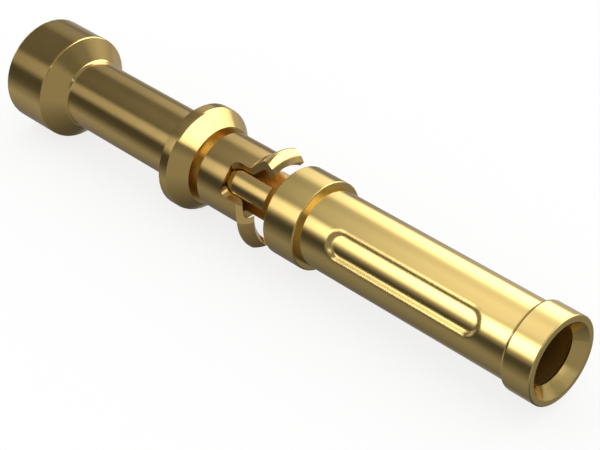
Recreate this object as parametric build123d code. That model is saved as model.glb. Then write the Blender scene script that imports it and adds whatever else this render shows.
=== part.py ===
"""Crimp socket contact: a turned body, a spring locking clip and a front sleeve.

Millimetres. The contact axis is X and the mating mouth faces +X. Stations along the axis
are counted from the rear end, where the wire goes in. The solids are moved at the end so
that the origin is on the axis, halfway along the part. Angles about the axis are counted
from -Y towards +Z.
"""
from build123d import *
import math
import os

# Body, rear half: the wire funnel, the crimp barrel and the flange
FUNNEL_R = 1.977
FUNNEL_LENGTH = 1.943
FUNNEL_EDGE_R = 0.07
FUNNEL_WALL = 0.307
FUNNEL_CONE_LENGTH = 0.67
BARREL_R = 1.273
BARREL_LENGTH = 5.767
BARREL_WALL = 0.373
BARREL_FILLET_R = 0.16
FUNNEL_BORE_DEPTH = 1.75
WIRE_CONE_LENGTH = 0.80
WIRE_BORE_LENGTH = 4.55
WIRE_DRILL_POINT = 0.52
SIGHT_HOLE_R = 0.30
SIGHT_HOLE_FROM_BORE_END = 0.55
SIGHT_HOLE_ANGLE = 185.0
FLANGE_R = 1.94
FLANGE_RIM_LENGTH = 0.45
FLANGE_CONE_LENGTH = 0.59
FLANGE_EDGE = 0.04
FLANGE_ROOT_R = 0.10

# Body, middle: the clip seat, the neck and the key that stands in one slot of the clip
SEAT_R = 1.115
SEAT_LENGTH = 1.16
NECK_DROP = 0.235
NECK_LENGTH = 2.683
KEY_RISE = 0.045
KEY_CROWN_R = 0.85
KEY_EDGE_R = 0.03
KEY_SLOT_GAP = 0.03
KEY_TO_SLEEVE_GAP = 0.53

# Mating pin, and the spring socket that grips it inside the sleeve
PIN_R = 1.00
SOCKET_CLEARANCE = 0.0
SOCKET_WALL = 0.14
SOCKET_TIP_TAPER = 0.05
SOCKET_TAPER_LENGTH = 4.30
SOCKET_DRILL_POINT = 0.56
SOCKET_MOUTH_CHAMFER = 0.05
SOCKET_BORE_FROM_COLLAR = 0.44
SLIT_WIDTH = 0.26
SLIT_FROM_BORE_START = 1.40
SLIT_ANGLES = (35.0, 125.0)

# Collar of the body that the sleeve is pressed on
PRESS_COLLAR_R = 1.34
PRESS_COLLAR_INSET = 0.297
PRESS_COLLAR_LENGTH = 1.00
PRESS_COLLAR_CHAMFER = 0.06

# Locking clip: a sheet tube on the seat, with three slots between three bowed tines
CLIP_WALL = 0.279
CLIP_END_PLAY = 0.33
CLIP_TUBE_LENGTH = 1.92
CLIP_EDGE_R = 0.05
CLIP_FLANGE_STEP = 0.07
SLOT_FROM_CLIP_REAR = 1.13
SLOT_ANGLE = 35.0
SLOT_INNER_WIDTH = 0.91
SLOT_INNER_FLAT = 0.03
SLOT_OUTER_WIDTH = 1.30
SLOT_OUTER_CORNER_R = 0.30
SLOT_REAR_LEAN = 0.05
SLOT_CUT_ABOVE = 0.05
TINE_COUNT = 3
TINE_ROOT_BACK = 0.17
TINE_ROOT_HALF_WIDTH = 0.76
TINE_END_HALF_WIDTH = 0.66
# Tine section: (ahead of the tube's end, above the seat) from the root to the end, outside
TINE_OUTER = (
    (0.133, 0.365),
    (0.253, 0.465),
    (0.373, 0.575),
    (0.503, 0.675),
    (0.630, 0.755),
    (0.770, 0.725),
    (0.903, 0.645),
    (1.034, 0.540),
    (1.124, 0.440),
)
# The same section inside, from where it leaves the tube to the end
TINE_INNER = (
    (-0.070, 0.0),
    (0.233, 0.145),
    (0.353, 0.255),
    (0.483, 0.360),
    (0.620, 0.455),
    (0.750, 0.465),
    (0.860, 0.390),
    (0.945, 0.265),
)

# Front sleeve: a thin hood with a shoulder at its rear and a collar at its mouth
SLEEVE_LENGTH = 11.40
SLEEVE_ROOM = 0.04
SLEEVE_WALL = 0.227
SHOULDER_WALL = 0.29
SHOULDER_LENGTH = 1.38
SHOULDER_EDGE_R = 0.05
COLLAR_RISE = 0.167
COLLAR_LENGTH = 1.20
COLLAR_REAR_EDGE_R = 0.15
COLLAR_FRONT_EDGE_R = 0.05
MOUTH_CLEARANCE = 0.05
MOUTH_CONE_DEPTH = 0.43
MOUTH_RIM_WIDTH = 0.223
LIP_LENGTH = 0.733
LIP_TO_SOCKET_GAP = 0.56

# Long hollow pressed in the sleeve wall
HOLLOW_ANGLE = 29.4
HOLLOW_LENGTH = 6.41
HOLLOW_WIDTH = 0.95
HOLLOW_DEPTH = 0.12
HOLLOW_SIDE_SLOPE = 0.09
HOLLOW_EDGE_R = 0.035
HOLLOW_BEHIND_COLLAR = 1.17

# Stations that follow from the lengths
FUNNEL_CONE_END_X = FUNNEL_LENGTH + FUNNEL_CONE_LENGTH
WIRE_BORE_START_X = FUNNEL_BORE_DEPTH + WIRE_CONE_LENGTH
WIRE_BORE_END_X = WIRE_BORE_START_X + WIRE_BORE_LENGTH
FLANGE_REAR_X = FUNNEL_CONE_END_X + BARREL_LENGTH
FLANGE_RIM_END_X = FLANGE_REAR_X + FLANGE_RIM_LENGTH
FLANGE_FACE_X = FLANGE_RIM_END_X + FLANGE_CONE_LENGTH
SEAT_END_X = FLANGE_FACE_X + SEAT_LENGTH
CLIP_REAR_X = FLANGE_FACE_X + CLIP_END_PLAY
SLOT_REAR_X = CLIP_REAR_X + SLOT_FROM_CLIP_REAR
CLIP_TUBE_END_X = CLIP_REAR_X + CLIP_TUBE_LENGTH
SLEEVE_REAR_X = SEAT_END_X + NECK_LENGTH
KEY_FRONT_X = SLEEVE_REAR_X - KEY_TO_SLEEVE_GAP
PRESS_COLLAR_REAR_X = SLEEVE_REAR_X + PRESS_COLLAR_INSET
PRESS_COLLAR_END_X = PRESS_COLLAR_REAR_X + PRESS_COLLAR_LENGTH
MOUTH_X = SLEEVE_REAR_X + SLEEVE_LENGTH
MOUTH_CONE_START_X = MOUTH_X - MOUTH_CONE_DEPTH
LIP_REAR_X = MOUTH_CONE_START_X - LIP_LENGTH
COLLAR_REAR_X = MOUTH_X - COLLAR_LENGTH
SHOULDER_END_X = SLEEVE_REAR_X + SHOULDER_LENGTH
SOCKET_END_X = LIP_REAR_X - LIP_TO_SOCKET_GAP
SOCKET_BORE_START_X = PRESS_COLLAR_END_X + SOCKET_BORE_FROM_COLLAR
SLIT_START_X = SOCKET_BORE_START_X + SLIT_FROM_BORE_START

# Radii and widths that follow from the walls and clearances
FUNNEL_BORE_R = FUNNEL_R - FUNNEL_WALL
WIRE_BORE_R = BARREL_R - BARREL_WALL
CLIP_R = SEAT_R + CLIP_WALL
FLANGE_FACE_R = CLIP_R + CLIP_FLANGE_STEP
NECK_R = SEAT_R - NECK_DROP
KEY_TOP_R = SEAT_R + KEY_RISE
KEY_WIDTH = SLOT_INNER_WIDTH - 2 * KEY_SLOT_GAP
SOCKET_BORE_R = PIN_R + SOCKET_CLEARANCE
SOCKET_R = SOCKET_BORE_R + SOCKET_WALL
SLEEVE_BORE_R = SOCKET_R + SLEEVE_ROOM
SLEEVE_R = SLEEVE_BORE_R + SLEEVE_WALL
SHOULDER_R = PRESS_COLLAR_R + SHOULDER_WALL
COLLAR_R = SLEEVE_R + COLLAR_RISE
MOUTH_BORE_R = PIN_R + MOUTH_CLEARANCE
MOUTH_CONE_R = COLLAR_R - MOUTH_RIM_WIDTH

# How far the cutting shapes reach past the part
REACH = 3.0
PAST = 0.5


def turned(points):
    """Solid of revolution about the axis from a closed outline of (station, radius) points."""
    return revolve(make_face(Polyline(*points, close=True)), axis=Axis.X, revolution_arc=360)


def radial_plane(angle):
    """Plane through the axis that faces outwards at the angle, with its own X along the axis."""
    a = math.radians(angle)
    outward = Vector(0, -math.cos(a), math.sin(a))
    return Plane(origin=(0, 0, 0), x_dir=(1, 0, 0), z_dir=outward)


def rings(solid, x, r):
    """Round edges about the axis at station x with radius r."""
    found = []
    for edge in solid.edges().filter_by(GeomType.CIRCLE):
        centre = edge.arc_center
        off_axis = math.hypot(centre.Y, centre.Z)
        if abs(centre.X - x) + abs(edge.radius - r) + off_axis < 0.002:
            found.append(edge)
    if not found:
        raise ValueError(f"no round edge at station {x}, radius {r}")
    return found


def neck_key():
    """Key with a round rear end and a crowned top, from the clip slot to behind the sleeve."""
    rear = SLOT_REAR_X + KEY_SLOT_GAP
    front = KEY_FRONT_X + KEY_WIDTH
    middle = (rear + front) / 2
    length = front - rear
    plane = radial_plane(SLOT_ANGLE)
    key = extrude(plane * Pos(middle, 0) * SlotOverall(length, KEY_WIDTH), KEY_TOP_R)
    crown = Cylinder(KEY_CROWN_R, length, rotation=(0, 90, 0))
    key = key & (plane * Pos(middle, 0, KEY_TOP_R - KEY_CROWN_R) * crown)
    rim = []
    for edge in key.edges():
        if plane.to_local_coords(edge.center()).Z > NECK_R and edge.length > KEY_WIDTH:
            rim.append(edge)
    key = fillet(rim, KEY_EDGE_R)
    ahead = Pos(KEY_FRONT_X + KEY_WIDTH, 0, 0) * Box(2 * KEY_WIDTH, 2 * REACH, 2 * REACH)
    return key - ahead


def contact_body():
    """Turned body: funnel, crimp barrel, flange, clip seat, neck with key, spring socket."""
    body = turned([
        (0.0, 0.0),
        (0.0, FUNNEL_R),
        (FUNNEL_LENGTH, FUNNEL_R),
        (FUNNEL_CONE_END_X, BARREL_R),
        (FLANGE_REAR_X, BARREL_R),
        (FLANGE_REAR_X, FLANGE_R),
        (FLANGE_RIM_END_X, FLANGE_R),
        (FLANGE_FACE_X, FLANGE_FACE_R),
        (FLANGE_FACE_X, SEAT_R),
        (SEAT_END_X, SEAT_R),
        (SEAT_END_X + NECK_DROP, NECK_R),
        (PRESS_COLLAR_REAR_X, NECK_R),
        (PRESS_COLLAR_REAR_X, PRESS_COLLAR_R),
        (PRESS_COLLAR_END_X, PRESS_COLLAR_R),
        (PRESS_COLLAR_END_X, SOCKET_R),
        (SOCKET_END_X - SOCKET_TAPER_LENGTH, SOCKET_R),
        (SOCKET_END_X, SOCKET_R - SOCKET_TIP_TAPER),
        (SOCKET_END_X, 0.0),
    ])
    body = fillet(rings(body, FUNNEL_CONE_END_X, BARREL_R), BARREL_FILLET_R)
    body = fillet(rings(body, FLANGE_REAR_X, BARREL_R), FLANGE_ROOT_R)
    body = chamfer(rings(body, FLANGE_REAR_X, FLANGE_R), FLANGE_EDGE)
    body = chamfer(rings(body, FLANGE_RIM_END_X, FLANGE_R), FLANGE_EDGE)
    body = fillet(rings(body, 0.0, FUNNEL_R), FUNNEL_EDGE_R)
    body = fillet(rings(body, FUNNEL_LENGTH, FUNNEL_R), FUNNEL_EDGE_R)
    body = chamfer(rings(body, PRESS_COLLAR_END_X, PRESS_COLLAR_R), PRESS_COLLAR_CHAMFER)
    body = body + neck_key()

    body = body - turned([
        (-PAST, 0.0),
        (-PAST, FUNNEL_BORE_R),
        (FUNNEL_BORE_DEPTH, FUNNEL_BORE_R),
        (WIRE_BORE_START_X, WIRE_BORE_R),
        (WIRE_BORE_END_X, WIRE_BORE_R),
        (WIRE_BORE_END_X + WIRE_DRILL_POINT, 0.0),
    ])
    sight_plane = radial_plane(SIGHT_HOLE_ANGLE) * Pos(WIRE_BORE_END_X - SIGHT_HOLE_FROM_BORE_END, 0)
    body = body - extrude(sight_plane * Circle(SIGHT_HOLE_R), REACH)

    body = body - turned([
        (SOCKET_BORE_START_X - SOCKET_DRILL_POINT, 0.0),
        (SOCKET_BORE_START_X, SOCKET_BORE_R),
        (SOCKET_END_X - SOCKET_MOUTH_CHAMFER, SOCKET_BORE_R),
        (SOCKET_END_X, SOCKET_BORE_R + SOCKET_MOUTH_CHAMFER),
        (SOCKET_END_X + PAST, SOCKET_BORE_R + SOCKET_MOUTH_CHAMFER),
        (SOCKET_END_X + PAST, 0.0),
    ])
    slit_length = SOCKET_END_X + PAST - SLIT_START_X
    for angle in SLIT_ANGLES:
        slit = Box(slit_length, SLIT_WIDTH, 2 * REACH)
        slit = Pos(SLIT_START_X + slit_length / 2, 0) * slit
        body = body - radial_plane(angle).location * slit
    return body


def locking_clip():
    """Spring clip: one sheet tube whose tines bow outwards and turn in again at their ends."""
    outer = [(CLIP_TUBE_END_X + ahead, SEAT_R + rise) for ahead, rise in TINE_OUTER]
    inner = [(CLIP_TUBE_END_X + ahead, SEAT_R + rise) for ahead, rise in TINE_INNER]
    tube_end = (CLIP_TUBE_END_X, CLIP_R)
    with BuildLine() as outline:
        Line((CLIP_REAR_X, SEAT_R), inner[0])
        Spline(*inner, tangents=[(1.0, 0.05), (0.50, -0.87)])
        Line(inner[-1], outer[-1])
        Spline(*reversed(outer), tube_end, tangents=[(-0.75, 0.66), (-1.0, -0.35)])
        Line(tube_end, (CLIP_REAR_X, CLIP_R))
        Line((CLIP_REAR_X, CLIP_R), (CLIP_REAR_X, SEAT_R))
    ring = revolve(make_face(outline.line), axis=Axis.X, revolution_arc=360)
    ring = fillet(rings(ring, CLIP_REAR_X, CLIP_R), CLIP_EDGE_R)

    # One flat outline, seen from outside, keeps each tine and its third of the tube
    root = TINE_ROOT_HALF_WIDTH
    tip = TINE_END_HALF_WIDTH
    rear = CLIP_REAR_X - PAST
    root_x = CLIP_TUBE_END_X - TINE_ROOT_BACK
    front = outer[-1][0] + PAST
    flat = make_face(Polyline(
        (rear, -CLIP_R),
        (root_x, -CLIP_R),
        (root_x, -root),
        (front, -tip),
        (front, tip),
        (root_x, root),
        (root_x, CLIP_R),
        (rear, CLIP_R),
        close=True))
    kept = None
    for index in range(TINE_COUNT):
        angle = SLOT_ANGLE + (index + 0.5) * 360.0 / TINE_COUNT
        slab = extrude(radial_plane(angle) * flat, REACH)
        kept = slab if kept is None else kept + slab
    clip = ring & kept

    # Each slot fits round the key at its inner edge, and is wider and squarer outside
    inner_height = math.sqrt(SEAT_R ** 2 - (SLOT_INNER_WIDTH / 2) ** 2)
    outer_height = math.sqrt(CLIP_R ** 2 - (SLOT_OUTER_WIDTH / 2) ** 2)
    inner_corner = (SLOT_INNER_WIDTH - SLOT_INNER_FLAT) / 2
    front = front + SLOT_OUTER_WIDTH
    for index in range(TINE_COUNT):
        plane = radial_plane(SLOT_ANGLE + index * 360.0 / TINE_COUNT)
        ends = []
        for height in (inner_height, CLIP_R + SLOT_CUT_ABOVE):
            out = (height - inner_height) / (outer_height - inner_height)
            rear = SLOT_REAR_X + out * SLOT_REAR_LEAN
            width = SLOT_INNER_WIDTH + out * (SLOT_OUTER_WIDTH - SLOT_INNER_WIDTH)
            corner = inner_corner + out * (SLOT_OUTER_CORNER_R - inner_corner)
            outline = RectangleRounded(front - rear, width, corner)
            ends.append(plane.offset(height) * Pos((rear + front) / 2, 0) * outline)
        clip = clip - loft(ends)
    return clip


def hood_sleeve():
    """Front sleeve, pressed on the body's collar; its mouth leads the mating pin in."""
    sleeve = turned([
        (SLEEVE_REAR_X, 0.0),
        (SLEEVE_REAR_X, SHOULDER_R),
        (SHOULDER_END_X, SHOULDER_R),
        (SHOULDER_END_X, SLEEVE_R),
        (COLLAR_REAR_X, SLEEVE_R),
        (COLLAR_REAR_X, COLLAR_R),
        (MOUTH_X, COLLAR_R),
        (MOUTH_X, 0.0),
    ])
    sleeve = fillet(rings(sleeve, SLEEVE_REAR_X, SHOULDER_R), SHOULDER_EDGE_R)
    sleeve = fillet(rings(sleeve, SHOULDER_END_X, SHOULDER_R), SHOULDER_EDGE_R)
    sleeve = fillet(rings(sleeve, COLLAR_REAR_X, COLLAR_R), COLLAR_REAR_EDGE_R)
    sleeve = fillet(rings(sleeve, MOUTH_X, COLLAR_R), COLLAR_FRONT_EDGE_R)

    # The hollow's sides slope in, and its floor is round about the axis
    length = HOLLOW_LENGTH
    middle = COLLAR_REAR_X - HOLLOW_BEHIND_COLLAR - length / 2
    floor_r = SLEEVE_R - HOLLOW_DEPTH
    inset = 2 * HOLLOW_SIDE_SLOPE
    plane = radial_plane(HOLLOW_ANGLE)
    low = plane.offset(floor_r - HOLLOW_DEPTH) * Pos(middle, 0) * SlotOverall(
        length - inset, HOLLOW_WIDTH - inset)
    high = plane.offset(SLEEVE_R) * Pos(middle, 0) * SlotOverall(length, HOLLOW_WIDTH)
    hollow = loft([low, high])
    under = Cylinder(floor_r, length + 2 * PAST, rotation=(0, 90, 0))
    sleeve = sleeve - (hollow - Pos(middle, 0, 0) * under)
    rim = []
    for edge in sleeve.edges():
        spot = plane.to_local_coords(edge @ 0.5)
        on_wall = abs(math.hypot((edge @ 0.5).Y, (edge @ 0.5).Z) - SLEEVE_R) < 0.001
        if on_wall and spot.Z > 0 and abs(spot.X - middle) < length / 2 + HOLLOW_DEPTH:
            rim.append(edge)
    sleeve = fillet(rim, HOLLOW_EDGE_R)

    return sleeve - turned([
        (SLEEVE_REAR_X - PAST, 0.0),
        (SLEEVE_REAR_X - PAST, PRESS_COLLAR_R),
        (PRESS_COLLAR_END_X, PRESS_COLLAR_R),
        (PRESS_COLLAR_END_X, SLEEVE_BORE_R),
        (LIP_REAR_X, SLEEVE_BORE_R),
        (LIP_REAR_X, MOUTH_BORE_R),
        (MOUTH_CONE_START_X, MOUTH_BORE_R),
        (MOUTH_X, MOUTH_CONE_R),
        (MOUTH_X + PAST, MOUTH_CONE_R),
        (MOUTH_X + PAST, 0.0),
    ])


NODES = {
    "contact_body": contact_body,
    "locking_clip": locking_clip,
    "hood_sleeve": hood_sleeve,
}

os.makedirs("parts", exist_ok=True)
for name, make in NODES.items():
    shape = Pos(-MOUTH_X / 2, 0, 0) * make()
    shape.label = name
    export_step(shape, f"parts/{name}.step")
    print(name, "volume", round(shape.volume, 4), "valid", shape.is_valid,
          "solids", len(shape.solids()))
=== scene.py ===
"""Crimp socket contact: gold finishes for its three solids, and a plain pale studio.

Everything is in metres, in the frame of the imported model: the contact's axis is X, with the
mating mouth towards +X, and Z is up.
"""

import math

import bpy
from bpy.props import FloatProperty, FloatVectorProperty, PointerProperty
from bpy.types import Operator, Panel, PropertyGroup
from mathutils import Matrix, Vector


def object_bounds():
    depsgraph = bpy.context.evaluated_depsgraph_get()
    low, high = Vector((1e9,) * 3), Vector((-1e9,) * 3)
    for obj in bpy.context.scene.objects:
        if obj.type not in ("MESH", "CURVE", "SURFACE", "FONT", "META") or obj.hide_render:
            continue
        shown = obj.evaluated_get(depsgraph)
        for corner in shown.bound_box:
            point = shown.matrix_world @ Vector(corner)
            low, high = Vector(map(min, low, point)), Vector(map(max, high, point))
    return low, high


bl_info = {
    "name": "Crimp Socket Contact",
    "version": (1, 0, 0),
    "blender": (4, 5, 0),
    "location": "View3D > Sidebar > Contact",
    "description": "Dresses the crimp socket contact and sets up its studio",
    "category": "Object",
}

# X part of the normal from which a face counts as square to the axis; such faces get painted shade
SQUARE_FACING = (0.90, 0.97)
# Where the sleeve's long hollow is: its angle above -Y, the least cosine from its middle
# line, and its two ends along X
HOLLOW_ANGLE = 29.4
HOLLOW_FACING = 0.88
HOLLOW_ENDS = (0.0035, 0.0103)
# Part of the normal round the axis from which a face of the clip counts as a cut edge, which gets
# painted shade
CUT_FACING = (0.30, 0.55)
# The neck lies between these X and within this radius
NECK_SPAN = (-0.0022, 0.0012)
NECK_RADIUS = 0.00093
# The spring socket's tips darken over this span of X; the darkening is painted shade deep in the
# bore
SOCKET_PAINTED_SHADE_SPAN = (0.0070, 0.0100)
# The countersink of the mouth lies ahead of this X and within this radius; its gold gets painted
# shade
MOUTH_START = 0.01185
MOUTH_RADIUS = 0.00136
# The sleeve's bore lies within this radius
SLEEVE_BORE_RADIUS = 0.00125
# Scale of the plate's cloudiness, and the shares by which it changes colour and roughness
CLOUD_SCALE = 900.0
CLOUD_COLOUR = (0.95, 1.03)
CLOUD_ROUGHNESS = (0.75, 1.25)
# Scale of the turning marks round the axis, where they hardly change, and their height
MARK_DRIFT = 30.0
MARK_HEIGHT = 0.000002
# Rays that soften the shading of the hollow's rim
RIM_SAMPLES = 12
# Sides of the round floor, and sides and rings of the tent
FLOOR_SIDES = 64
TENT_SIDES = 96
TENT_RINGS = 48
# Width of the camera's sensor in millimetres, and the nearest and furthest that it sees
SENSOR_WIDTH = 36.0
CAMERA_REACH = (0.001, 10.0)

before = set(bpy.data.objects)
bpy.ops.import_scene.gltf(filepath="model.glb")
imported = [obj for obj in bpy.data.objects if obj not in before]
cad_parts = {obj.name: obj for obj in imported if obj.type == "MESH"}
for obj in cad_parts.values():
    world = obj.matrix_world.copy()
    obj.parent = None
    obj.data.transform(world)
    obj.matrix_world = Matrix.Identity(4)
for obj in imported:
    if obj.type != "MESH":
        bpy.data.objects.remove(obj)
CAD_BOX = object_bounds()


class GoldFinish(PropertyGroup):
    """Colours, surface detail and painted shade of the gold plate."""

    body_colour: FloatVectorProperty(
        name="Body colour", description="Gold of the turned body",
        subtype="COLOR", size=3, min=0.0, max=1.0, default=(0.93, 0.65, 0.235))
    clip_colour: FloatVectorProperty(
        name="Clip colour", description="Gold of the sprung locking clip",
        subtype="COLOR", size=3, min=0.0, max=1.0, default=(0.93, 0.645, 0.235))
    sleeve_colour: FloatVectorProperty(
        name="Sleeve colour", description="Gold of the front sleeve",
        subtype="COLOR", size=3, min=0.0, max=1.0, default=(0.95, 0.695, 0.25))
    roughness: FloatProperty(
        name="Roughness", description="How soft the reflections in the plate are",
        default=0.12, min=0.0, max=1.0)
    face_roughness: FloatProperty(
        name="Face roughness", description="Roughness of the faces turned square to the axis",
        default=0.30, min=0.0, max=1.0)
    # Painted shade: the gold on faces square to the axis is made darker by this share
    face_painted_shade: FloatProperty(
        name="Face shade", description="Share of the gold's brightness on those faces",
        default=0.76, min=0.0, max=1.0)
    cut_roughness: FloatProperty(
        name="Cut edge roughness", description="Roughness of the clip's cut edges",
        default=0.30, min=0.0, max=1.0)
    # Painted shade: the gold on the clip's cut edges is made darker by this share
    cut_painted_shade: FloatProperty(
        name="Cut edge shade", description="Share of the gold's brightness on the cut edges",
        default=0.62, min=0.0, max=1.0)
    neck_roughness: FloatProperty(
        name="Neck roughness", description="Roughness of the body's neck under the tines",
        default=0.45, min=0.0, max=1.0)
    mark_pitch: FloatProperty(
        name="Turning mark pitch", description="Distance between fine turning marks",
        default=0.00004, min=0.00001, max=0.0005, unit="LENGTH")
    mark_depth: FloatProperty(
        name="Turning mark strength", description="Strength of the turning marks in the bump",
        default=0.05, min=0.0, max=1.0)
    rim_softness: FloatProperty(
        name="Hollow rim softness", description="How far the shading of the hollow's rim is soft",
        default=0.00022, min=0.0, max=0.001, unit="LENGTH")
    mouth_roughness: FloatProperty(
        name="Mouth roughness", description="Roughness of the countersink in the mouth",
        default=0.15, min=0.0, max=1.0)
    # Painted shade: the gold in the mouth's countersink is made darker by this share
    mouth_painted_shade: FloatProperty(
        name="Mouth shade", description="Share of the gold's brightness in the countersink",
        default=0.95, min=0.0, max=1.0)
    bore_roughness: FloatProperty(
        name="Bore roughness", description="Roughness inside the sleeve",
        default=0.35, min=0.0, max=1.0)
    socket_roughness: FloatProperty(
        name="Socket tip roughness", description="Roughness of the spring socket's tips",
        default=0.40, min=0.0, max=1.0)
    # Painted shade: the gold on the socket's tips inside the bore is made darker by this share
    socket_painted_shade: FloatProperty(
        name="Socket tip shade", description="Share of the gold's brightness on the tips",
        default=0.50, min=0.0, max=1.0)


class StudioSettings(PropertyGroup):
    """Floor, light tent and camera."""

    floor_drop: FloatProperty(
        name="Floor drop", description="Gap between the lowest point and the floor",
        default=0.00001, min=0.0, unit="LENGTH")
    floor_radius: FloatProperty(
        name="Floor radius", description="Radius of the round floor",
        default=1.2, min=0.1, unit="LENGTH")
    tent_radius: FloatProperty(
        name="Tent radius", description="Radius of the tent that the metal reflects",
        default=1.5, min=0.2, unit="LENGTH")
    floor_colour: FloatVectorProperty(
        name="Floor colour", description="Pale colour of the floor",
        subtype="COLOR", size=3, min=0.0, max=1.0, default=(1.0, 1.0, 1.0))
    floor_lift: FloatProperty(
        name="Floor lift", description="Share of plain white in what the camera sees of the floor",
        subtype="FACTOR", default=0.78, min=0.0, max=1.0)
    camera_place: FloatVectorProperty(
        name="Camera place", description="Where the camera stands",
        subtype="XYZ", size=3, unit="LENGTH", default=(0.0389465, -0.037874, 0.037324))
    camera_towards: FloatVectorProperty(
        name="Camera direction", description="Which way the camera looks",
        subtype="DIRECTION", size=3, default=(-1.0, 1.0, -1.0))
    lens: FloatProperty(
        name="Lens", description="Focal length in millimetres on a 36 mm sensor",
        default=116.106, min=1.0)


def node_material(name):
    """Empty node material with an output, and its tree."""
    material = bpy.data.materials.new(name)
    material.use_nodes = True
    tree = material.node_tree
    tree.nodes.clear()
    output = tree.nodes.new("ShaderNodeOutputMaterial")
    return material, tree, output


def math_node(tree, operation, first, second=None):
    """Math node whose inputs are sockets or plain numbers; returns its output."""
    node = tree.nodes.new("ShaderNodeMath")
    node.operation = operation
    for index, value in enumerate((first, second)):
        if value is None:
            continue
        if isinstance(value, (int, float)):
            node.inputs[index].default_value = value
        else:
            tree.links.new(value, node.inputs[index])
    return node.outputs[0]


def ramp_node(tree, factor, stops):
    """Grey colour ramp with stops of (place, value); returns its colour."""
    node = tree.nodes.new("ShaderNodeValToRGB")
    ramp = node.color_ramp
    ramp.interpolation = "LINEAR"
    while len(ramp.elements) > 1:
        ramp.elements.remove(ramp.elements[-1])
    first_place, first_value = stops[0]
    ramp.elements[0].position = first_place
    ramp.elements[0].color = (first_value, first_value, first_value, 1.0)
    for place, value in stops[1:]:
        element = ramp.elements.new(place)
        element.color = (value, value, value, 1.0)
    tree.links.new(factor, node.inputs["Fac"])
    return node.outputs["Color"]


def step_node(tree, value, low, high):
    """Map Range node that goes from 0 at low to 1 at high; returns its output."""
    node = tree.nodes.new("ShaderNodeMapRange")
    node.inputs["From Min"].default_value = low
    node.inputs["From Max"].default_value = high
    tree.links.new(value, node.inputs["Value"])
    return node.outputs["Result"]


def blend_node(tree, factor, first, second):
    """Mix of two levels, each a socket or a plain number; returns its output."""
    node = tree.nodes.new("ShaderNodeMix")
    node.data_type = "FLOAT"
    tree.links.new(factor, node.inputs["Factor"])
    for socket, value in ((node.inputs["A"], first), (node.inputs["B"], second)):
        if isinstance(value, (int, float)):
            socket.default_value = value
        else:
            tree.links.new(value, socket)
    return node.outputs["Result"]


def dull_and_shade_zone(tree, zone, roughness, shade):
    """Gives the part of a plate where the zone is 1 another roughness, and a gold darkened by the
    share shade; that darkening is painted shade.
    """
    plate = tree.nodes["plate"]
    rough = plate.inputs["Roughness"]
    plain = rough.links[0].from_socket
    tree.links.new(blend_node(tree, zone, plain, roughness), rough)
    colour = plate.inputs["Base Color"]
    gold = colour.links[0].from_socket
    # Painted shade: the gold is scaled by the share shade where the zone is 1
    darker = tree.nodes.new("ShaderNodeVectorMath")
    darker.operation = "SCALE"
    tree.links.new(gold, darker.inputs[0])
    tree.links.new(blend_node(tree, zone, 1.0, shade), darker.inputs["Scale"])
    tree.links.new(darker.outputs["Vector"], colour)


def gold_material(name, colour, settings):
    """Polished gold plate with fine turning marks round the X axis and faint cloudiness."""
    material, tree, output = node_material(name)
    nodes, links = tree.nodes, tree.links
    shader = nodes.new("ShaderNodeBsdfPrincipled")
    shader.name = "plate"
    shader.inputs["Metallic"].default_value = 1.0
    links.new(shader.outputs["BSDF"], output.inputs["Surface"])

    place = nodes.new("ShaderNodeTexCoord")
    cloud = nodes.new("ShaderNodeTexNoise")
    cloud.inputs["Scale"].default_value = CLOUD_SCALE
    cloud.inputs["Detail"].default_value = 3.0
    links.new(place.outputs["Object"], cloud.inputs["Vector"])
    tint = nodes.new("ShaderNodeMix")
    tint.data_type = "RGBA"
    for side, share in zip("AB", CLOUD_COLOUR):
        tint.inputs[side].default_value = (*[min(1.0, share * c) for c in colour], 1.0)
    links.new(cloud.outputs["Fac"], tint.inputs["Factor"])
    links.new(tint.outputs["Result"], shader.inputs["Base Color"])

    rough = nodes.new("ShaderNodeMapRange")
    rough.inputs["To Min"].default_value = CLOUD_ROUGHNESS[0] * settings.roughness
    rough.inputs["To Max"].default_value = CLOUD_ROUGHNESS[1] * settings.roughness
    links.new(cloud.outputs["Fac"], rough.inputs["Value"])
    links.new(rough.outputs["Result"], shader.inputs["Roughness"])

    # Faces square to the axis: a higher roughness, and a darker gold that is painted shade
    facing = nodes.new("ShaderNodeSeparateXYZ")
    links.new(place.outputs["Normal"], facing.inputs["Vector"])
    square = math_node(tree, "ABSOLUTE", facing.outputs["X"])
    square = step_node(tree, square, *SQUARE_FACING)
    dull_and_shade_zone(tree, square, settings.face_roughness, settings.face_painted_shade)

    stretch = nodes.new("ShaderNodeMapping")
    stretch.inputs["Scale"].default_value = (1.0 / settings.mark_pitch, MARK_DRIFT, MARK_DRIFT)
    links.new(place.outputs["Object"], stretch.inputs["Vector"])
    marks = nodes.new("ShaderNodeTexNoise")
    marks.inputs["Scale"].default_value = 1.0
    marks.inputs["Detail"].default_value = 2.0
    links.new(stretch.outputs["Vector"], marks.inputs["Vector"])
    bump = nodes.new("ShaderNodeBump")
    bump.name = "turning_marks"
    bump.inputs["Strength"].default_value = settings.mark_depth
    bump.inputs["Distance"].default_value = MARK_HEIGHT
    links.new(marks.outputs["Fac"], bump.inputs["Height"])
    links.new(bump.outputs["Normal"], shader.inputs["Normal"])
    return material


def place_nodes(tree):
    """Nodes for a point's X, its offset from the axis, and its distance from the axis."""
    place = tree.nodes.new("ShaderNodeTexCoord").outputs["Object"]
    split = tree.nodes.new("ShaderNodeSeparateXYZ")
    tree.links.new(place, split.inputs["Vector"])
    away = tree.nodes.new("ShaderNodeCombineXYZ")
    tree.links.new(split.outputs["Y"], away.inputs["Y"])
    tree.links.new(split.outputs["Z"], away.inputs["Z"])
    radius = tree.nodes.new("ShaderNodeVectorMath")
    radius.operation = "LENGTH"
    tree.links.new(away.outputs["Vector"], radius.inputs[0])
    return split.outputs["X"], away.outputs["Vector"], radius.outputs["Value"]


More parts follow.
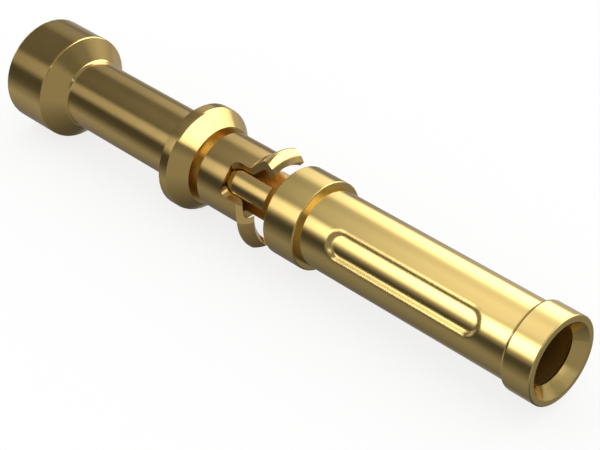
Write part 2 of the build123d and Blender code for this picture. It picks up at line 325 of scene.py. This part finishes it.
def dull_and_shade_body_zones(material, settings):
    """Dulls the body's neck, and darkens the tips of its spring socket inside the mouth with
    painted shade.
    """
    tree = material.node_tree
    along, _, radius = place_nodes(tree)
    neck = math_node(tree, "MULTIPLY", math_node(tree, "GREATER_THAN", along, NECK_SPAN[0]),
                     math_node(tree, "LESS_THAN", along, NECK_SPAN[1]))
    neck = math_node(tree, "MULTIPLY", neck,
                     math_node(tree, "LESS_THAN", radius, NECK_RADIUS))
    dull_and_shade_zone(tree, neck, settings.neck_roughness, 1.0)
    # Painted shade: the socket's tips deep in the bore get a darker gold
    tips = step_node(tree, along, *SOCKET_PAINTED_SHADE_SPAN)
    dull_and_shade_zone(tree, tips, settings.socket_roughness, settings.socket_painted_shade)


def dull_and_shade_clip_edges(material, settings):
    """Dulls the clip's cut edges, whose normal points round the axis and not away from it, and
    darkens their gold with painted shade.
    """
    tree = material.node_tree
    _, away, radius = place_nodes(tree)
    coordinates = tree.nodes.new("ShaderNodeTexCoord")
    round_axis = tree.nodes.new("ShaderNodeVectorMath")
    round_axis.operation = "CROSS_PRODUCT"
    round_axis.inputs[0].default_value = (1.0, 0.0, 0.0)
    tree.links.new(away, round_axis.inputs[1])
    facing = tree.nodes.new("ShaderNodeVectorMath")
    facing.operation = "DOT_PRODUCT"
    tree.links.new(round_axis.outputs["Vector"], facing.inputs[0])
    tree.links.new(coordinates.outputs["Normal"], facing.inputs[1])
    share = math_node(tree, "DIVIDE", facing.outputs["Value"], radius)
    share = math_node(tree, "ABSOLUTE", share)
    # Cut edges: a higher roughness, and a darker gold that is painted shade
    dull_and_shade_zone(tree, step_node(tree, share, *CUT_FACING), settings.cut_roughness,
              settings.cut_painted_shade)


def soften_and_shade_sleeve(material, settings):
    """Softens the rim of the sleeve's long hollow, dulls its bore and its countersink, and darkens
    the countersink's gold a little with painted shade.
    """
    tree = material.node_tree
    along, away, radius = place_nodes(tree)
    side = tree.nodes.new("ShaderNodeVectorMath")
    side.operation = "NORMALIZE"
    tree.links.new(away, side.inputs[0])
    facing = tree.nodes.new("ShaderNodeVectorMath")
    facing.operation = "DOT_PRODUCT"
    tree.links.new(side.outputs["Vector"], facing.inputs[0])
    turn = math.radians(HOLLOW_ANGLE)
    facing.inputs[1].default_value = (0.0, -math.cos(turn), math.sin(turn))

    near = math_node(tree, "GREATER_THAN", facing.outputs["Value"], HOLLOW_FACING)
    after = math_node(tree, "GREATER_THAN", along, HOLLOW_ENDS[0])
    before = math_node(tree, "LESS_THAN", along, HOLLOW_ENDS[1])
    near = math_node(tree, "MULTIPLY", near, math_node(tree, "MULTIPLY", after, before))
    bevel = tree.nodes.new("ShaderNodeBevel")
    bevel.samples = RIM_SAMPLES
    tree.links.new(math_node(tree, "MULTIPLY", near, settings.rim_softness),
                   bevel.inputs["Radius"])
    tree.links.new(bevel.outputs["Normal"], tree.nodes["turning_marks"].inputs["Normal"])

    bore = math_node(tree, "LESS_THAN", radius, SLEEVE_BORE_RADIUS)
    dull_and_shade_zone(tree, bore, settings.bore_roughness, 1.0)
    # Countersink: a higher roughness, and a slightly darker gold that is painted shade
    mouth = math_node(tree, "MULTIPLY", math_node(tree, "GREATER_THAN", along, MOUTH_START),
                      math_node(tree, "LESS_THAN", radius, MOUTH_RADIUS))
    dull_and_shade_zone(tree, mouth, settings.mouth_roughness, settings.mouth_painted_shade)


def dress_node(node_name, material):
    """Gives a CAD node its finish, on the object's own slots."""
    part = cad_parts[node_name]
    if not part.material_slots:
        part.data.materials.append(None)
    for slot in part.material_slots:
        slot.link = "OBJECT"
        slot.material = material


def grid_mesh(name, columns, rows, point):
    """Mesh of quads over a grid; point(column, row) gives each corner."""
    corners = [point(c, r) for r in range(rows + 1) for c in range(columns + 1)]
    faces = []
    for r in range(rows):
        for c in range(columns):
            a = r * (columns + 1) + c
            faces.append((a, a + 1, a + columns + 2, a + columns + 1))
    mesh = bpy.data.meshes.new(name)
    mesh.from_pydata(corners, [], faces)
    mesh.update()
    return mesh


class CONTACT_OT_dress_body(Operator):
    """Gives the turned body its gold plate."""

    bl_idname = "contact.dress_body"
    bl_label = "Dress Body"

    def execute(self, context):
        gold = context.scene.contact_gold
        material = gold_material("body_gold_plate", gold.body_colour, gold)
        dull_and_shade_body_zones(material, gold)
        dress_node("contact_body", material)
        return {"FINISHED"}


class CONTACT_OT_dress_clip(Operator):
    """Gives the locking clip its gold plate."""

    bl_idname = "contact.dress_clip"
    bl_label = "Dress Clip"

    def execute(self, context):
        gold = context.scene.contact_gold
        material = gold_material("clip_gold_plate", gold.clip_colour, gold)
        dull_and_shade_clip_edges(material, gold)
        dress_node("locking_clip", material)
        return {"FINISHED"}


class CONTACT_OT_dress_sleeve(Operator):
    """Gives the front sleeve its gold plate."""

    bl_idname = "contact.dress_sleeve"
    bl_label = "Dress Sleeve"

    def execute(self, context):
        gold = context.scene.contact_gold
        material = gold_material("sleeve_gold_plate", gold.sleeve_colour, gold)
        soften_and_shade_sleeve(material, gold)
        dress_node("hood_sleeve", material)
        return {"FINISHED"}


# The tent's brightness goes by the angle about X, in degrees: -90 is down, 0 is -Y, 90 is up
# and 180 is +Y. Behind the contact's middle it is striped:
TENT_STRIPES = (
    (-90.0, 0.14), (-60.0, 0.18), (-45.0, 0.21), (-28.0, 0.14), (-15.0, 0.07), (-3.0, 0.07),
    (8.0, 0.35), (14.0, 1.1), (24.0, 3.0), (38.0, 3.2), (44.0, 2.7), (49.0, 1.6),
    (55.0, 0.85), (69.0, 1.05), (89.0, 1.12), (110.0, 0.95), (121.0, 1.1), (130.0, 2.0),
    (140.0, 2.6), (163.0, 2.6), (171.0, 1.4), (178.0, 0.50), (200.0, 0.50), (232.0, 0.30),
    (270.0, 0.14),
)
# Share of the stripes' brightness by the X part of the direction
TENT_FALL = (
    (-1.0, 0.45), (-0.88, 0.28), (-0.79, 0.085), (-0.72, 0.085), (-0.655, 0.13), (-0.61, 0.21),
    (-0.56, 0.52), (-0.52, 0.82), (-0.46, 1.0), (-0.42, 0.80), (-0.36, 0.24), (1.0, 0.20),
)
# The least brightness behind the middle, by the angle
TENT_LEAST = (
    (-90.0, 0.15), (-60.0, 0.22), (-45.0, 0.25), (-28.0, 0.15), (-14.0, 0.065), (4.0, 0.045),
    (60.0, 0.08), (165.0, 0.10), (185.0, 0.20), (215.0, 0.40), (235.0, 0.14), (270.0, 0.15),
)
# Towards -X the least brightness is this many times the table's, and it falls to the table's
# over this span of the direction's X part
LEAST_LIFT = 1.5
LIFT_SPAN = (-0.76, -0.60)
# In front of the middle there is one wide lamp box overhead, again by the angle:
TENT_BOX = (
    (-90.0, 0.10), (-60.0, 0.17), (-25.0, 0.28), (20.0, 0.28), (32.0, 0.19), (45.0, 0.14),
    (51.0, 1.3), (62.0, 2.1), (90.0, 2.6), (168.0, 2.6), (180.0, 0.60), (190.0, 0.40),
    (225.0, 0.34), (240.0, 0.07), (270.0, 0.10),
)
# The X part of the direction at which the box begins, and at which it ends, by the angle
TENT_BOX_START = (
    (-90.0, -0.32), (46.0, -0.32), (52.0, 0.49), (78.0, 0.46), (92.0, 0.38), (105.0, 0.22),
    (120.0, -0.10), (135.0, -0.34), (270.0, -0.34),
)
TENT_BOX_END = (
    (-90.0, 0.66), (60.0, 0.66), (80.0, 0.635), (100.0, 0.57), (120.0, 0.465), (140.0, 0.335),
    (150.0, 0.24), (160.0, 0.14), (170.0, 0.03), (180.0, -0.10), (270.0, -0.10),
)
# Brightness ahead of the box's end, by the angle, and that of the cloth straight ahead
TENT_AHEAD = (
    (-90.0, 0.10), (-60.0, 0.17), (-25.0, 0.28), (52.0, 0.28), (62.0, 0.20), (72.0, 0.12),
    (95.0, 0.12), (112.0, 0.18), (132.0, 0.20), (145.0, 0.34), (160.0, 0.45), (172.0, 0.42),
    (185.0, 0.34), (225.0, 0.33), (240.0, 0.05), (270.0, 0.10),
)
TENT_FRONT = 0.28
# Spans of the direction's X part over which one zone blends into the next
BLEND_AT_START = 0.16
BLEND_AT_END = 0.05
BLEND_TO_FRONT = (0.765, 0.80)
# A colour ramp holds levels up to 1, so the tables are divided by this and the ramps multiplied
RAMP_TOP = 4.0


class CONTACT_OT_build_studio(Operator):
    """Makes the floor, the light tent, the world and the camera."""

    bl_idname = "contact.build_studio"
    bl_label = "Build Studio"

    def execute(self, context):
        scene = context.scene
        studio = scene.contact_studio
        self.lay_floor(scene, studio)
        self.hang_tent(scene, studio)
        self.light_world(scene)
        self.place_camera(scene, studio)
        scene.view_settings.view_transform = "Standard"
        return {"FINISHED"}

    def lay_floor(self, scene, studio):
        """Round floor just under the part, which the metal doesn't reflect."""
        height = CAD_BOX[0].z - studio.floor_drop

        def point(column, row):
            turn = 2 * math.pi * column / FLOOR_SIDES
            radius = row * studio.floor_radius
            return radius * math.cos(turn), radius * math.sin(turn), height

        mesh = grid_mesh("floor", FLOOR_SIDES, 1, point)
        mesh.materials.append(self.floor_material(studio))
        floor = bpy.data.objects.new("floor", mesh)
        floor.visible_glossy = False
        scene.collection.objects.link(floor)

    def floor_material(self, studio):
        """Matt paper; part of what the camera sees is plain white, so that its shadow is soft."""
        material, tree, output = node_material("floor_paper")
        paper = tree.nodes.new("ShaderNodeBsdfDiffuse")
        paper.inputs["Color"].default_value = (*studio.floor_colour, 1.0)
        white = tree.nodes.new("ShaderNodeEmission")
        seen = tree.nodes.new("ShaderNodeLightPath").outputs["Is Camera Ray"]
        lift = math_node(tree, "MULTIPLY", seen, studio.floor_lift)
        mix = tree.nodes.new("ShaderNodeMixShader")
        tree.links.new(lift, mix.inputs["Fac"])
        tree.links.new(paper.outputs["BSDF"], mix.inputs[1])
        tree.links.new(white.outputs["Emission"], mix.inputs[2])
        tree.links.new(mix.outputs["Shader"], output.inputs["Surface"])
        return material

    def hang_tent(self, scene, studio):
        """Round tent that only reflections show, so it never blocks the camera or a light."""
        reach = studio.tent_radius

        def point(column, row):
            turn = 2 * math.pi * column / TENT_SIDES
            tilt = math.pi * row / TENT_RINGS
            away = reach * math.sin(tilt)
            return reach * math.cos(tilt), away * math.cos(turn), away * math.sin(turn)

        mesh = grid_mesh("light_tent", TENT_SIDES, TENT_RINGS, point)
        mesh.materials.append(self.tent_material())
        tent = bpy.data.objects.new("light_tent", mesh)
        tent.visible_camera = False
        tent.visible_diffuse = False
        tent.visible_transmission = False
        tent.visible_volume_scatter = False
        tent.visible_shadow = False
        scene.collection.objects.link(tent)

    def light_world(self, scene):
        """Plain white light from all round."""
        world = bpy.data.worlds.new("pale_studio")
        world.use_nodes = True
        background = world.node_tree.nodes["Background"]
        background.inputs["Color"].default_value = (1.0, 1.0, 1.0, 1.0)
        background.inputs["Strength"].default_value = 1.0
        scene.world = world

    def place_camera(self, scene, studio):
        """Camera at the photo's viewing angle."""
        data = bpy.data.cameras.new("photo_camera")
        data.sensor_width = SENSOR_WIDTH
        data.lens = studio.lens
        data.clip_start, data.clip_end = CAMERA_REACH
        camera = bpy.data.objects.new("photo_camera", data)
        camera.location = Vector(studio.camera_place)
        camera.rotation_euler = Vector(studio.camera_towards).to_track_quat("-Z", "Y").to_euler()
        scene.collection.objects.link(camera)
        scene.camera = camera

    def tent_material(self):
        """Glow of the tent by direction: stripes behind the middle, a lamp box ahead of it."""
        material, tree, output = node_material("tent_cloth")
        place = tree.nodes.new("ShaderNodeTexCoord")
        unit = tree.nodes.new("ShaderNodeVectorMath")
        unit.operation = "NORMALIZE"
        tree.links.new(place.outputs["Object"], unit.inputs[0])
        split = tree.nodes.new("ShaderNodeSeparateXYZ")
        tree.links.new(unit.outputs["Vector"], split.inputs["Vector"])
        # The ramps run from 0 straight down, over 0.25 at -Y and 0.5 straight up, to 1
        angle = math_node(tree, "ARCTAN2", split.outputs["Y"], split.outputs["Z"])
        share = math_node(tree, "DIVIDE", angle, 2 * math.pi)
        share = math_node(tree, "ADD", share, 0.5)
        forward = split.outputs["X"]

        def by_angle(table):
            """Brightness from a table by the angle."""
            stops = [((degrees + 90.0) / 360.0, value / RAMP_TOP) for degrees, value in table]
            return math_node(tree, "MULTIPLY", ramp_node(tree, share, stops), RAMP_TOP)

        along = step_node(tree, forward, -1.0, 1.0)
        fall = ramp_node(tree, along, [((x + 1) / 2, value) for x, value in TENT_FALL])
        rear = math_node(tree, "MULTIPLY", by_angle(TENT_STRIPES), fall)
        lift = blend_node(tree, step_node(tree, forward, *LIFT_SPAN), LEAST_LIFT, 1.0)
        least = math_node(tree, "MULTIPLY", by_angle(TENT_LEAST), lift)
        rear = math_node(tree, "MAXIMUM", rear, least)

        def past(table, blend):
            """0 behind the table's X part of the direction and 1 ahead of it, blended."""
            limit = by_angle([(degrees, x + 1) for degrees, x in table])
            over = math_node(tree, "SUBTRACT", math_node(tree, "ADD", forward, 1.0), limit)
            return step_node(tree, over, -blend / 2, blend / 2)

        front = blend_node(tree, past(TENT_BOX_END, BLEND_AT_END), by_angle(TENT_BOX),
                           by_angle(TENT_AHEAD))
        front = blend_node(tree, step_node(tree, forward, *BLEND_TO_FRONT), front, TENT_FRONT)
        glow = blend_node(tree, past(TENT_BOX_START, BLEND_AT_START), rear, front)
        emission = tree.nodes.new("ShaderNodeEmission")
        tree.links.new(glow, emission.inputs["Strength"])
        tree.links.new(emission.outputs["Emission"], output.inputs["Surface"])
        return material


class CONTACT_PT_panel(Panel):
    """Sidebar panel that lists the sizes, the colours and the build steps."""

    bl_idname = "CONTACT_PT_panel"
    bl_label = "Crimp Socket Contact"
    bl_space_type = "VIEW_3D"
    bl_region_type = "UI"
    bl_category = "Contact"

    def draw(self, context):
        layout = self.layout
        for group in (context.scene.contact_gold, context.scene.contact_studio):
            box = layout.box()
            for name in group.__annotations__:
                box.prop(group, name)
        for step in STEPS:
            layout.operator(step.bl_idname)


STEPS = (
    CONTACT_OT_dress_body,
    CONTACT_OT_dress_clip,
    CONTACT_OT_dress_sleeve,
    CONTACT_OT_build_studio,
)
CLASSES = (GoldFinish, StudioSettings, *STEPS, CONTACT_PT_panel)


def register():
    """Adds the panel, the steps and the settings to Blender."""
    for cls in CLASSES:
        bpy.utils.register_class(cls)
    bpy.types.Scene.contact_gold = PointerProperty(type=GoldFinish)
    bpy.types.Scene.contact_studio = PointerProperty(type=StudioSettings)


def unregister():
    """Takes them out again."""
    del bpy.types.Scene.contact_studio
    del bpy.types.Scene.contact_gold
    for cls in reversed(CLASSES):
        bpy.utils.unregister_class(cls)


def main():
    """Registers the add-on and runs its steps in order."""
    register()
    bpy.ops.contact.dress_body()
    bpy.ops.contact.dress_clip()
    bpy.ops.contact.dress_sleeve()
    bpy.ops.contact.build_studio()


if __name__ == "__main__":
    main()
